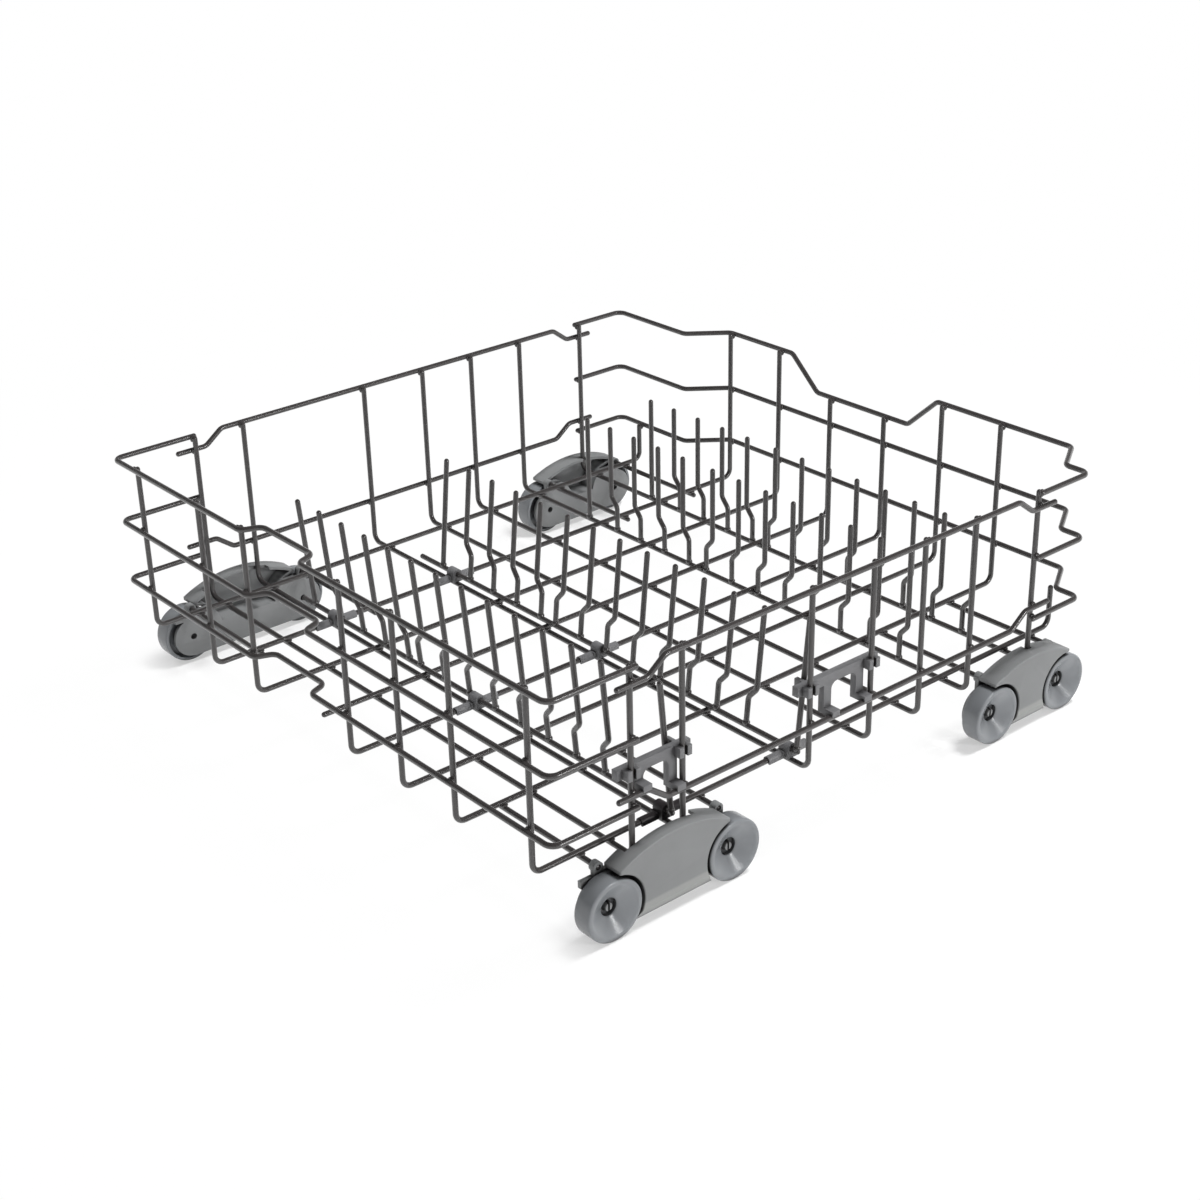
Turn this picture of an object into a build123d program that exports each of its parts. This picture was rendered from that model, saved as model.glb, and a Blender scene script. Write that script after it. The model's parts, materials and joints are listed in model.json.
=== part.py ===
from build123d import *
import math
import os

# Lower dishwasher basket: welded coated wire, two folding tine rows, four roller bogies.
# Millimetres. X runs across, Y from the notched rear wall to the dipped front wall, Z up.
# The origin lies under the middle of the basket, on the ground that the rollers stand on.

# Wire
wire_d = 4.0
weld_gap = 0.02

# Basket floor and walls
wall_x = 248.0
rear_y = -257.5
front_y = 257.5
cross_z = 46.0
cross_bend = 7.0
long_bend = 7.0
top_z = 178.5
mid_z = 129.0
low_z = 81.5
end_over = 1.2
cross_y = [-195.9, -153.9, -42.3, 15.0, 64.3, 115.2, 180.9]
long_x = [-224.2, -140.1, -82.0, -23.5, 34.7, 93.5, 150.6, 227.4]

# Side wires, joggled at both ends so that the end rails pass them at the posts
side_low_z = 80.0
side_post_room = 10.9
side_joggle_run = 14.5
side_joggle_rise = 10.8
side_tail = 15.0
side_bend = 8.0

# End rails
rail_bend = 7.0
rail_tail = 3.6
notch_w = 61.0
notch_depth = 14.5
notch_flank = 5.5
set_back = 30.5
left_step_run = 25.0
bend_room = 0.6
right_step_x = 231.5
right_step_run = 18.5
dip_x = 7.0
dip_w = 98.0
dip_run = 29.0
dip_depth = 26.5

# Upright tines
tine_h = 88.0
tine_pitch = 29.0
kink_from = 19.0
kink_rise = 8.0
kink_out = 7.0
kink_bend = 6.0
foot_room = 0.4
left_tines = 5
right_tines = 8
front_tines_left = -33.5
front_tines_right = -15.5
second_tines_left = -38.0
second_tines_right = -18.0
middle_tines_left = -30.8
middle_tines_right = -13.6
rear_tines_left = -43.0
rear_tines_right = -29.0
end_tine_shift = 6.5

# Folding rows
fold_gap = 0.3
fold_run = 0.08
rod_left = -183.0
rod_over = 3.0
lever_x = 237.0
lever_h = 95.0
middle_lean = 6.0
rear_lean = 5.0

# Pivot clips
clip_wires = [1, 4, 7]
clip_wall = 1.0
clip_len = 36.0
bearing_w = 9.0
bearing_len = 12.0
bearing_wall = 2.2
clip_fit = 0.04
clip_mouth = 3.0

# Latch brackets on the right wall
latch_z = 104.5
latch_bar_h = 7.0
latch_bar_t = 5.0
latch_gap = 0.3
latch_end = 9.0
latch_wrap = 3.0
latch_mouth = 3.0
latch_leg_w = 7.0
latch_foot_h = 2.5
latch_arch_r = 5.0
latch_legs_rear = [0.20, 0.86]
latch_legs_middle = [0.33, 0.86]
stop_t = 3.0
stop_reach = 3.0

# Rollers
wheel_r = 21.8
wheel_w = 14.5
wheel_gap = 1.2
wheel_bevel = 1.2
rim_w = 3.2
dish_depth = 6.5
well_r = 6.2
bore_len = 4.5
core_depth = 6.5
core_wall = 3.5
core_draft = 1.0
hub_r = 9.0
pin_r = 3.0
pin_fit = 0.08
head_r = 3.7
head_w = 3.0
head_taper = 1.0
head_gap = 0.35
slit_w = 1.6
slit_root = 2.0

# Bogies
web_t = 3.3
block_out = 260.0
block_low = 5.5
lobe_r = 16.0
finger_out = 14.0
finger_h = 5.0
finger_z = 38.8
plate_room = 1.0
hood_end_z = 47.9
rear_hood = [-215.5, -124.0]
rear_hood_z = 59.2
front_hood = [133.5, 215.5]
front_hood_z = 57.0
wheel_clear = 2.2
block_round = 1.0
under_run = 3.5
under_rise = 7.0
shell_t = 2.4
shelf_z = 27.0
rear_axles = [-220.0, -119.5]
front_axles = [137.0, 211.8]
eye_r = 3.8
eye_len = 5.0
eye_fit = 0.04
slot_fit = 0.3
recess_room = 8.0
cut_over = 1.0
roller_wire_left = -135.0
roller_wire_right = 145.5

# Heights and places that follow from the sizes above
wire_r = wire_d / 2
lay = wire_d + weld_gap
long_z = cross_z + lay
rod_z = long_z + wire_d + fold_gap
rail_x = wall_x + lay
rear_rail_y = rear_y - lay
front_rail_y = front_y + lay
set_back_y = front_rail_y - set_back
wheel_out = block_out
wheel_in = wheel_out - wheel_w
bore_end = wheel_in + bore_len
web_out = wheel_in - wheel_gap
web_in = web_out - web_t
rear_post_y = cross_y[0]
front_post_y = cross_y[-1]
rear_row_y = cross_y[1]
middle_row_y = cross_y[2]
step_long_x = long_x[1]
notch_long_x = long_x[2]
free_long_x = long_x[3]


def save(shape, name):
    export_step(shape, "parts/" + name + ".step")


def group(solids):
    return Compound(children=list(solids))


# A round wire swept along its bent centre line
def bent(points, radius):
    path = FilletPolyline(*points, radius=radius)
    section = Plane(origin=path @ 0, z_dir=path % 0) * Circle(wire_r)
    return sweep(section, path=path)


def rod(start, end):
    run = Vector(*end) - Vector(*start)
    return extrude(Plane(origin=start, z_dir=run) * Circle(wire_r), amount=run.length)


def block(x0, x1, y0, y1, z0, z1):
    return Pos((x0 + x1) / 2, (y0 + y1) / 2, (z0 + z1) / 2) * Box(x1 - x0, y1 - y0, z1 - z0)


# Cross wires: up the left wall, across the floor and up the right wall
def cross_wire(y):
    top = top_z + end_over
    points = [(-wall_x, y, top), (-wall_x, y, cross_z), (wall_x, y, cross_z), (wall_x, y, top)]
    return bent(points, cross_bend)


# The step where a front rail comes back from its face to the right corner is filleted; the
# right outer long wire stands against that fillet.
def right_riser_y(x):
    centre_x = right_step_x + bend_length(set_back, right_step_run)
    centre_y = set_back_y + rail_bend
    reach = rail_bend + lay
    return centre_y - math.sqrt(reach ** 2 - (centre_x - x) ** 2)


# Height of the top front rail above a long wire
def front_top(x):
    if abs(x - dip_x) < dip_w / 2:
        return top_z - dip_depth
    return top_z


# Long wires: lie on the cross wires and turn up into the rear and front walls
def long_wire(x):
    if x == long_x[0]:
        front = (set_back_y - lay, low_z + end_over)
    elif x == long_x[-1]:
        front = (right_riser_y(x), low_z + end_over)
    else:
        front = (front_y, front_top(x) + end_over)
    points = [(x, front[0], front[1]), (x, front[0], long_z)]
    if x == free_long_x:
        points.append((x, rear_rail_y + notch_depth + wire_d, long_z))
    else:
        points.append((x, rear_y, long_z))
        points.append((x, rear_y, top_z + end_over))
    return bent(points, long_bend)


# Side wires: the top one steps down and the low one steps up before the posts
def side_wire(x, z, step):
    rear_out = rear_post_y + side_post_room
    front_out = front_post_y - side_post_room
    points = [(x, rear_post_y - side_tail, z + step), (x, rear_out, z + step)]
    points += [(x, rear_out + side_joggle_run, z), (x, front_out - side_joggle_run, z)]
    points += [(x, front_out, z + step), (x, front_post_y + side_tail, z + step)]
    return bent(points, side_bend)


# Length of wire that a rail bend of the given slope takes before its corner
def bend_length(rise, run):
    return rail_bend * math.tan(math.atan2(rise, run) / 2)


# Rear rails: a notch pushed in just past the upright of one long wire
def rear_rail(z):
    tail = rear_post_y + rail_tail
    left = notch_long_x + bend_length(notch_depth, notch_flank) + bend_room + notch_flank
    right = left + notch_w
    inner = rear_rail_y + notch_depth
    points = [(-rail_x, tail, z), (-rail_x, rear_rail_y, z)]
    points += [(left - notch_flank, rear_rail_y, z), (left, inner, z)]
    points += [(right, inner, z), (right + notch_flank, rear_rail_y, z)]
    points += [(rail_x, rear_rail_y, z), (rail_x, tail, z)]
    return bent(points, rail_bend)


# Front rails: set back at both corners, the top one dipped in the middle
def front_rail(z, dip):
    tail = front_post_y - rail_tail
    step_end = step_long_x - bend_length(set_back, left_step_run) - bend_room
    points = [(-rail_x, tail, z), (-rail_x, set_back_y, z)]
    points += [(step_end - left_step_run, set_back_y, z), (step_end, front_rail_y, z)]
    if dip > 0:
        half = dip_w / 2
        points += [(dip_x - half - dip_run, front_rail_y, z), (dip_x - half, front_rail_y, z - dip)]
        points += [(dip_x + half, front_rail_y, z - dip), (dip_x + half + dip_run, front_rail_y, z)]
    points += [(right_step_x - right_step_run, front_rail_y, z), (right_step_x, set_back_y, z)]
    points += [(rail_x, set_back_y, z), (rail_x, tail, z)]
    return bent(points, rail_bend)


# One upright tine on a wire whose top is at height base
def tine(x, y, base, out):
    foot = base + weld_gap
    tip = base + tine_h
    if out == 0:
        return rod((x, y, foot), (x, y, tip))
    low = base + kink_from
    high = low + kink_rise
    return bent([(x, y, foot), (x, y, low), (x + out, y, high), (x + out, y, tip)], kink_bend)


# Where a tine stands: beside what already lies there, never in it
def foot_x(x, taken):
    for low, high in taken:
        left = low - wire_r - foot_room
        right = high + wire_r + foot_room
        if left < x < right:
            return left if x - left < right - x else right
    return x


# A row has two groups that spread apart; the outermost tine on the left is straight
def tine_row(y, base, left, right, taken):
    tines = []
    for i in range(left_tines):
        x = left - i * tine_pitch
        if i == left_tines - 1:
            tines.append(tine(foot_x(x - end_tine_shift, taken), y, base, 0))
        else:
            tines.append(tine(foot_x(x, taken), y, base, -kink_out))
    for i in range(right_tines):
        tines.append(tine(foot_x(right + i * tine_pitch, taken), y, base, kink_out))
    return tines


# A fixed row stands on a cross wire, between the long wires that lie on it
def fixed_row(y, left, right):
    taken = [(x - wire_r, x + wire_r) for x in long_x]
    return tine_row(y, cross_z + wire_r, left, right, taken)


# A folding row: rod, tines and the lever tine at the right wall, tilted about the rod
def fold_row(y, left, right, lean):
    base = rod_z + wire_r
    starts = [long_x[index] - wire_r - clip_wall for index in clip_wires]
    taken = [(x, x + bearing_w) for x in starts]
    pieces = [rod((rod_left, y, rod_z), (lever_x + rod_over, y, rod_z))]
    pieces += tine_row(y, base, left, right, taken)
    pieces.append(rod((lever_x, y, base + weld_gap), (lever_x, y, base + lever_h)))
    tilt = Pos(0, y, rod_z) * Rot(X=lean) * Pos(0, -y, -rod_z)
    return [tilt * piece for piece in pieces]


# Pivot clip: a half pipe snapped on a long wire, with a bearing for the rod on top
def pivot_clip(x, y):
    seat = wire_r + clip_fit
    half = wire_r + clip_wall
    floor = cross_z + wire_r + weld_gap + clip_fit
    pipe_top = long_z + half
    bear_r = wire_r + bearing_wall
    pipe = block(x - half, x + half, y - clip_len / 2, y + clip_len / 2, floor, long_z)
    pipe += Pos(x, y, long_z) * Rot(X=90) * Cylinder(half, clip_len)
    pipe -= block(x - half, x + half, y - clip_len, y + clip_len, long_z - 2 * half, floor)
    bear_x = x - half
    bearing = block(bear_x, bear_x + bearing_w, y - bear_r, y + bear_r, floor, rod_z)
    bearing += Pos(bear_x + bearing_w / 2, y, rod_z) * Rot(Y=90) * Cylinder(bear_r, bearing_w)
    rib = block(x - half, x + half, y - bearing_len / 2, y + bearing_len / 2, floor, pipe_top)
    clip = pipe + bearing + rib
    clip -= Pos(x, y, long_z) * Rot(X=90) * Cylinder(seat, 2 * clip_len)
    clip -= block(x - clip_mouth / 2, x + clip_mouth / 2, y - clip_len, y + clip_len, floor - wire_d, long_z)
    clip -= Pos(x, y, rod_z) * Rot(Y=90) * Cylinder(wire_r + fold_run, 4 * bearing_w)
    return clip


# Height of the low side wire at one place along the wall
def side_low_at(y):
    to_post = min(y - rear_post_y, front_post_y - y)
    past = 1 - (to_post - side_post_room) / side_joggle_run
    return side_low_z + side_joggle_rise * min(max(past, 0.0), 1.0)


# Latch bracket: snapped on two right-hand uprights, standing on the low side wire, with a
# stop that the lever tine of the row leans on
def latch(first, second, legs, row, lean, side):
    bar_out = wall_x - wire_r - latch_gap
    bar_in = bar_out - latch_bar_t
    z0 = latch_z - latch_bar_h / 2
    z1 = latch_z + latch_bar_h / 2
    wrap_out = wall_x + wire_r + latch_wrap / 2
    bracket = block(bar_in, bar_out, first - latch_end, second + latch_end, z0, z1)
    for y in (first, second):
        half = wire_r + latch_wrap
        bracket += block(bar_in, wrap_out, y - half, y + half, z0, z1)
    leg_y = [first + share * (second - first) for share in legs]
    for y in leg_y:
        leg = side_low_at(y)
        bracket += block(bar_in, bar_out, y - latch_leg_w / 2, y + latch_leg_w / 2, leg, z0 + cut_over)
    arch = bracket.edges().filter_by(Axis.X).filter_by_position(Axis.Y, leg_y[0], leg_y[1])
    bracket = fillet(arch.filter_by_position(Axis.Z, z0 - cut_over, z0 + cut_over), latch_arch_r)
    for y in leg_y:
        leg = side_low_at(y)
        shoe_top = leg + wire_r + latch_foot_h
        bracket += block(bar_in, rail_x + wire_r, y - latch_leg_w / 2, y + latch_leg_w / 2, leg, shoe_top)
        bracket -= Pos(rail_x, y, leg) * Rot(X=90) * Cylinder(wire_r + clip_fit, 2 * latch_leg_w)
    for y in (first, second):
        bracket -= Pos(wall_x, y, latch_z) * Cylinder(wire_r + clip_fit, 2 * latch_bar_h)
        half = latch_mouth / 2
        bracket -= block(wall_x, wrap_out + wire_d, y - half, y + half, z0 - cut_over, z1 + cut_over)
    lever_y = row - side * (latch_z - rod_z) * math.tan(math.radians(lean))
    reach = (latch_bar_h / 2) * math.tan(math.radians(lean))
    near = lever_y + side * (wire_r / math.cos(math.radians(lean)) + reach + latch_gap)
    far = near + side * stop_t
    bracket += block(lever_x - stop_reach, bar_in + cut_over, min(near, far), max(near, far), z0, z1)
    return bracket


# Roller: dished outside, cored inside, turning on a pin of the bogie
def wheel(y):
    dish = wheel_out - dish_depth
    core = wheel_in + core_depth
    rim = wheel_r - rim_w
    bore_r = pin_r + pin_fit
    points = [(wheel_in, bore_r), (wheel_in, hub_r), (core, hub_r), (core, rim - core_wall)]
    points += [(wheel_in, rim - core_wall + core_draft), (wheel_in, wheel_r - wheel_bevel)]
    points += [(wheel_in + wheel_bevel, wheel_r), (wheel_out - wheel_bevel, wheel_r)]
    points += [(wheel_out, wheel_r - wheel_bevel), (wheel_out, rim), (dish, well_r)]
    points += [(bore_end, well_r), (bore_end, bore_r)]
    disc = revolve(make_face(Polyline(*points, close=True)), axis=Axis.X)
    return Pos(0, y, wheel_r) * disc


# Axle pin of a bogie, slit so that its head snaps through the bore of the roller
def axle_pin(y):
    head_in = bore_end + head_gap
    head_out = head_in + head_w
    points = [(web_in, 0), (web_in, pin_r), (head_in, pin_r), (head_in, head_r)]
    points += [(head_out, head_r - head_taper), (head_out, 0)]
    pin = Pos(0, y, wheel_r) * revolve(make_face(Polyline(*points, close=True)), axis=Axis.X)
    half = slit_w / 2
    return pin - block(web_out + slit_root, wheel_out, y - half, y + half, wheel_r - hub_r, wheel_r + hub_r)


# Bogie: a plate behind the rollers with two lobes and an eye for each roller wire, and a hollow
# hood between them whose top is cut away where the cross wires come down. It stays clear of the
# long wires and of the clips on them. The rear bogies have a finger at the end.
def bogie(axles, hood, hood_z, recess, finger):
    y1 = axles[0]
    y2 = axles[1]
    mid = (hood[0] + hood[1]) / 2
    ring = wheel_r + wheel_clear
    plate_z = cross_z - wire_r - plate_room
    web_face = Pos((y1 + y2) / 2, (block_low + plate_z) / 2) * Rectangle(y2 - y1, plate_z - block_low)
    for y in axles:
        web_face += Pos(y, wheel_r) * Circle(lobe_r)
        web_face += Pos(y, (wheel_r + cross_z) / 2) * Rectangle(2 * eye_r, cross_z - wheel_r)
    if finger > 0:
        web_face += Pos(y1 - finger / 2, finger_z) * Rectangle(finger, finger_h)
    web = extrude(Plane.YZ.offset(web_in) * web_face, amount=web_t)

    arch = ThreePointArc((hood[1], hood_end_z), (mid, hood_z), (hood[0], hood_end_z))
    ends = Polyline((hood[0], hood_end_z), (hood[0], block_low), (hood[1], block_low), (hood[1], hood_end_z))
    block_face = make_face([arch, ends]) - Pos(y1, wheel_r) * Circle(ring) - Pos(y2, wheel_r) * Circle(ring)
    core = extrude(Plane.YZ.offset(web_out) * block_face, amount=block_out - web_out)
    slope = [(block_out - under_run, block_low), (block_out + under_run, block_low - under_rise)]
    slope.append((block_out, block_low + under_rise))
    wedge_face = make_face(Polyline(*slope, close=True))
    core -= extrude(Plane.XZ.offset(-mid) * wedge_face, amount=y2 - y1, both=True)
    outer = core.faces().sort_by(Axis.X)[-1]
    core = fillet(outer.edges(), block_round)

    body = web + core
    pocket_face = offset(block_face, -shell_t) - Pos(mid, 0) * Rectangle(2 * (y2 - y1), 2 * shelf_z)
    body -= extrude(Plane.YZ.offset(web_in) * pocket_face, amount=block_out - shell_t - web_in)
    under_in = block_out - under_run - shell_t
    under_z = shelf_z - shell_t
    body -= block(web_out, under_in, y1 + ring + shell_t, y2 - ring - shell_t, block_low - cut_over, under_z)
    for y in axles:
        eye = Pos(web_out - eye_len / 2, y, cross_z) * Rot(Y=90)
        body += eye * Cylinder(eye_r, eye_len)
        body += axle_pin(y)
        body -= eye * Cylinder(wire_r + eye_fit, 2 * eye_len)
    slot_out = wall_x + wire_r + slot_fit
    slot_low = cross_z - wire_r - slot_fit
    body -= block(0, slot_out, recess[0], recess[1], slot_low, hood_z + cut_over)
    passage = bearing_w + slot_fit
    passage_z = long_z - wire_r - slot_fit
    for x in long_x:
        body -= block(abs(x) - passage, abs(x) + passage, y1 - ring, y2 + ring, passage_z, hood_z + cut_over)
    return body


def build():
    os.makedirs("parts", exist_ok=True)
    for i, y in enumerate(cross_y):
        save(cross_wire(y), "cross_wire_" + str(i + 1))
    for i, x in enumerate(long_x):
        save(long_wire(x), "long_wire_" + str(i + 1))
    for side, x in (("left", -rail_x), ("right", rail_x)):
        save(side_wire(x, top_z, -side_joggle_rise), "side_wire_top_" + side)
        save(side_wire(x, side_low_z, side_joggle_rise), "side_wire_low_" + side)
    for level, z in (("top", top_z), ("mid", mid_z), ("low", low_z)):
        save(rear_rail(z), "rear_rail_" + level)
        dip = dip_depth if level == "top" else 0
        save(front_rail(z, dip), "front_rail_" + level)

    save(group(fixed_row(front_post_y, front_tines_left, front_tines_right)), "tine_row_front")
    save(group(fixed_row(cross_y[-2], second_tines_left, second_tines_right)), "tine_row_second")
    row = fold_row(middle_row_y, middle_tines_left, middle_tines_right, -middle_lean)
    save(group(row), "fold_row_middle")
    row = fold_row(rear_row_y, rear_tines_left, rear_tines_right, rear_lean)
    save(group(row), "fold_row_rear")

    for i, index in enumerate(clip_wires):
        save(pivot_clip(long_x[index], rear_row_y), "pivot_clip_rear_" + str(i + 1))
        save(pivot_clip(long_x[index], middle_row_y), "pivot_clip_middle_" + str(i + 1))
    bracket = latch(rear_post_y, rear_row_y, latch_legs_rear, rear_row_y, rear_lean, 1)
    save(bracket, "latch_rear")
    bracket = latch(middle_row_y, cross_y[3], latch_legs_middle, middle_row_y, middle_lean, -1)
    save(bracket, "latch_middle")

    rear_recess = (rear_post_y - recess_room, rear_row_y + recess_room)
    slot_half = wire_r + slot_fit
    front_recess = (front_post_y - slot_half, front_post_y + slot_half)
    rear_bogie = bogie(rear_axles, rear_hood, rear_hood_z, rear_recess, finger_out)
    front_bogie = bogie(front_axles, front_hood, front_hood_z, front_recess, 0)
    for end, body, axles in (("rear", rear_bogie, rear_axles), ("front", front_bogie, front_axles)):
        save(body, "bogie_" + end + "_right")
        save(mirror(body, about=Plane.YZ), "bogie_" + end + "_left")
        for i, y in enumerate(axles):
            roller = wheel(y)
            save(roller, "roller_" + end + "_right_" + str(i + 1))
            save(mirror(roller, about=Plane.YZ), "roller_" + end + "_left_" + str(i + 1))
        right = [rod((roller_wire_right, y, cross_z), (web_out, y, cross_z)) for y in axles]
        save(group(right), "roller_wires_" + end + "_right")
        left = [rod((-web_out, y, cross_z), (roller_wire_left, y, cross_z)) for y in axles]
        save(group(left), "roller_wires_" + end + "_left")


build()
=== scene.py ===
import json
import math

import bmesh
import bpy
from mathutils import Matrix, Vector


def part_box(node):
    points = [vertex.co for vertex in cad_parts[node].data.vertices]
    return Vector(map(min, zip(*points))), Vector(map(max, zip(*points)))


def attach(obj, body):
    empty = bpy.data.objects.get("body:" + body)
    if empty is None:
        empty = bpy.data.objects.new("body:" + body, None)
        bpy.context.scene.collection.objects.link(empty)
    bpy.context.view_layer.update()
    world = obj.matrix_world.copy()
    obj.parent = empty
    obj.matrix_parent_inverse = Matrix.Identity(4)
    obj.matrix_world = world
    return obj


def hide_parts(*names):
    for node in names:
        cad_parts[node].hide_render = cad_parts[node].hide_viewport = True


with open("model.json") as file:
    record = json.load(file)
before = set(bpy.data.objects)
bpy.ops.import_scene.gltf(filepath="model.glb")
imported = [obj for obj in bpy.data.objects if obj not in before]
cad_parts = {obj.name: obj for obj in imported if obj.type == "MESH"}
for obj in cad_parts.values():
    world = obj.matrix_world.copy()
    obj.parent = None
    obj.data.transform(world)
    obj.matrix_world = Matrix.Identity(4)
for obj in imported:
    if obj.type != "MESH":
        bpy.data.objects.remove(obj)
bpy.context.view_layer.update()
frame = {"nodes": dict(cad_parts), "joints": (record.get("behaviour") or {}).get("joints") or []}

# Coated wire finish
# The whole basket is dipped after welding, so every wire carries the same thin polymer skin.
# It is a dark grey-brown, a little uneven in thickness, with a clear shine over a satin depth.
MM = 0.001
COAT_THICK = (0.021, 0.0187, 0.0187, 1)
COAT_THIN = (0.039, 0.0350, 0.0345, 1)
COAT_CLOUD = 38 * MM
COAT_RUN = 7 * MM
COAT_SKIN = 1.1 * MM
COAT_ROUGH = 0.26
RUN_ROUGH = 0.20
COAT_SHINE = 0.7
CLOUD_SHINE = 0.3
SHINE_ROUGH = 0.22
SKIN_SHARE = 0.6
COAT_RELIEF = 0.12 * MM
COAT_BUMP = 0.22
NOISE_ROUGH = 0.55


class Value:
    """A shader socket that takes part in plain arithmetic."""

    def __init__(self, tree, socket):
        self.tree = tree
        self.socket = socket

    def maths(self, operation, first, second):
        node = self.tree.nodes.new("ShaderNodeMath")
        node.operation = operation
        for value, place in zip((first, second), node.inputs):
            join(value, place)
        return Value(self.tree, node.outputs[0])

    def __add__(self, other):
        return self.maths("ADD", self, other)

    def __radd__(self, other):
        return self.maths("ADD", other, self)

    def __sub__(self, other):
        return self.maths("SUBTRACT", self, other)

    def __rsub__(self, other):
        return self.maths("SUBTRACT", other, self)

    def __mul__(self, other):
        return self.maths("MULTIPLY", self, other)

    def __rmul__(self, other):
        return self.maths("MULTIPLY", other, self)


def join(value, place):
    if isinstance(value, Value):
        value.tree.links.new(value.socket, place)
    else:
        place.default_value = value


class Shading:
    """The shader nodes of a material or of the world, added one call at a time."""

    def __init__(self, tree):
        self.tree = tree

    def node(self, kind, settings, inputs, output=0):
        node = self.tree.nodes.new(kind)
        for name, value in settings.items():
            setattr(node, name, value)
        for name, value in inputs.items():
            join(value, node.inputs[name])
        return Value(self.tree, node.outputs[output])


class Finish(Shading):
    """A new material with its main shader."""

    def __init__(self, name):
        self.material = bpy.data.materials.new(name)
        self.material.use_nodes = True
        super().__init__(self.material.node_tree)
        self.shader = self.tree.nodes["Principled BSDF"]

    def set(self, name, value):
        join(value, self.shader.inputs[name])

    def object_place(self):
        return self.node("ShaderNodeTexCoord", {}, {}, "Object")

    def noise(self, place, size, detail):
        inputs = {"Vector": place, "Scale": 1 / size, "Detail": detail, "Roughness": NOISE_ROUGH}
        return self.node("ShaderNodeTexNoise", {}, inputs, "Fac")

    def blend(self, share, low, high):
        """Mixes two colours, by the numbers of the Mix node's colour sockets."""
        return self.node("ShaderNodeMix", {"data_type": "RGBA"}, {0: share, 6: low, 7: high}, 2)

    def bump(self, height, depth, strength):
        inputs = {"Height": height, "Distance": depth, "Strength": strength}
        return self.node("ShaderNodeBump", {}, inputs, "Normal")


def wire_coating():
    coat = Finish("wire_coating")
    place = coat.object_place()
    cloud = coat.noise(place, COAT_CLOUD, detail=3)
    skin = coat.noise(place, COAT_SKIN, detail=2)
    runs = coat.noise(place, COAT_RUN, detail=2)
    relief = SKIN_SHARE * skin + (1 - SKIN_SHARE) * runs
    coat.set("Base Color", coat.blend(cloud, COAT_THICK, COAT_THIN))
    coat.set("Roughness", COAT_ROUGH + RUN_ROUGH * runs)
    coat.set("Coat Weight", COAT_SHINE + CLOUD_SHINE * cloud)
    coat.set("Coat Roughness", SHINE_ROUGH)
    coat.set("Normal", coat.bump(relief, COAT_RELIEF, COAT_BUMP))
    return coat.material


COATING = wire_coating()


# Cross wires
# Seven lengths of drawn steel wire, each bent once at either end into a wide U that makes the
# floor and both side walls. The ends are cut square and rounded off by the coating.
WIRE_R = 2.0 * MM
WIRE_SIDES = 14
CAP_RINGS = 8
BEND_POINTS = 9
CROSS_WIRES = 7
CROSS_BEND = 7 * MM


class Growth:
    """A Geometry Nodes tree built one call at a time."""

    def __init__(self, name, inputs):
        self.tree = bpy.data.node_groups.new(name, "GeometryNodeTree")
        for label, kind in inputs.items():
            self.tree.interface.new_socket(label, in_out="INPUT", socket_type="NodeSocket" + kind)
        self.tree.interface.new_socket("Piece", in_out="OUTPUT", socket_type="NodeSocketGeometry")
        self.given = self.tree.nodes.new("NodeGroupInput").outputs
        self.out = self.tree.nodes.new("NodeGroupOutput").inputs["Piece"]

    def node(self, kind, settings, inputs, output=0):
        node = self.tree.nodes.new(kind)
        for name, value in settings.items():
            setattr(node, name, value)
        for name, value in inputs.items():
            for each in value if isinstance(value, list) else [value]:
                if isinstance(each, bpy.types.NodeSocket):
                    self.tree.links.new(each, node.inputs[name])
                else:
                    node.inputs[name].default_value = each
        return node.outputs[output]

    def finish(self, geometry, material):
        real = self.node("GeometryNodeRealizeInstances", {}, {"Geometry": geometry})
        smooth = self.node("GeometryNodeSetShadeSmooth", {}, {"Geometry": real})
        made = self.node("GeometryNodeSetMaterial", {}, {"Geometry": smooth, "Material": material})
        self.tree.links.new(made, self.out)
        return self.tree


def wire_tree():
    grow = Growth("coated_wire", {
        "Path": "Geometry", "Wire radius": "Float", "Bend radius": "Float", "Sides": "Int",
        "Coating": "Material"})
    radius = grow.given["Wire radius"]
    sides = grow.given["Sides"]
    path = grow.node("GeometryNodeMeshToCurve", {}, {"Mesh": grow.given["Path"]})
    bends = grow.node("GeometryNodeFilletCurve", {"mode": "POLY"}, {
        "Curve": path, "Count": BEND_POINTS, "Radius": grow.given["Bend radius"], "Limit Radius": True})
    section = grow.node("GeometryNodeCurvePrimitiveCircle", {}, {"Resolution": sides, "Radius": radius})
    tube = grow.node("GeometryNodeCurveToMesh", {}, {
        "Curve": bends, "Profile Curve": section, "Fill Caps": True})
    dome = grow.node("GeometryNodeMeshUVSphere", {}, {
        "Segments": sides, "Rings": CAP_RINGS, "Radius": radius})
    ends = grow.node("GeometryNodeCurveEndpointSelection", {}, {"Start Size": 1, "End Size": 1})
    caps = grow.node("GeometryNodeInstanceOnPoints", {}, {
        "Points": bends, "Selection": ends, "Instance": dome})
    both = grow.node("GeometryNodeJoinGeometry", {}, {"Geometry": [tube, caps]})
    return grow.finish(both, grow.given["Coating"])


WIRE_TREE = wire_tree()


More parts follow.
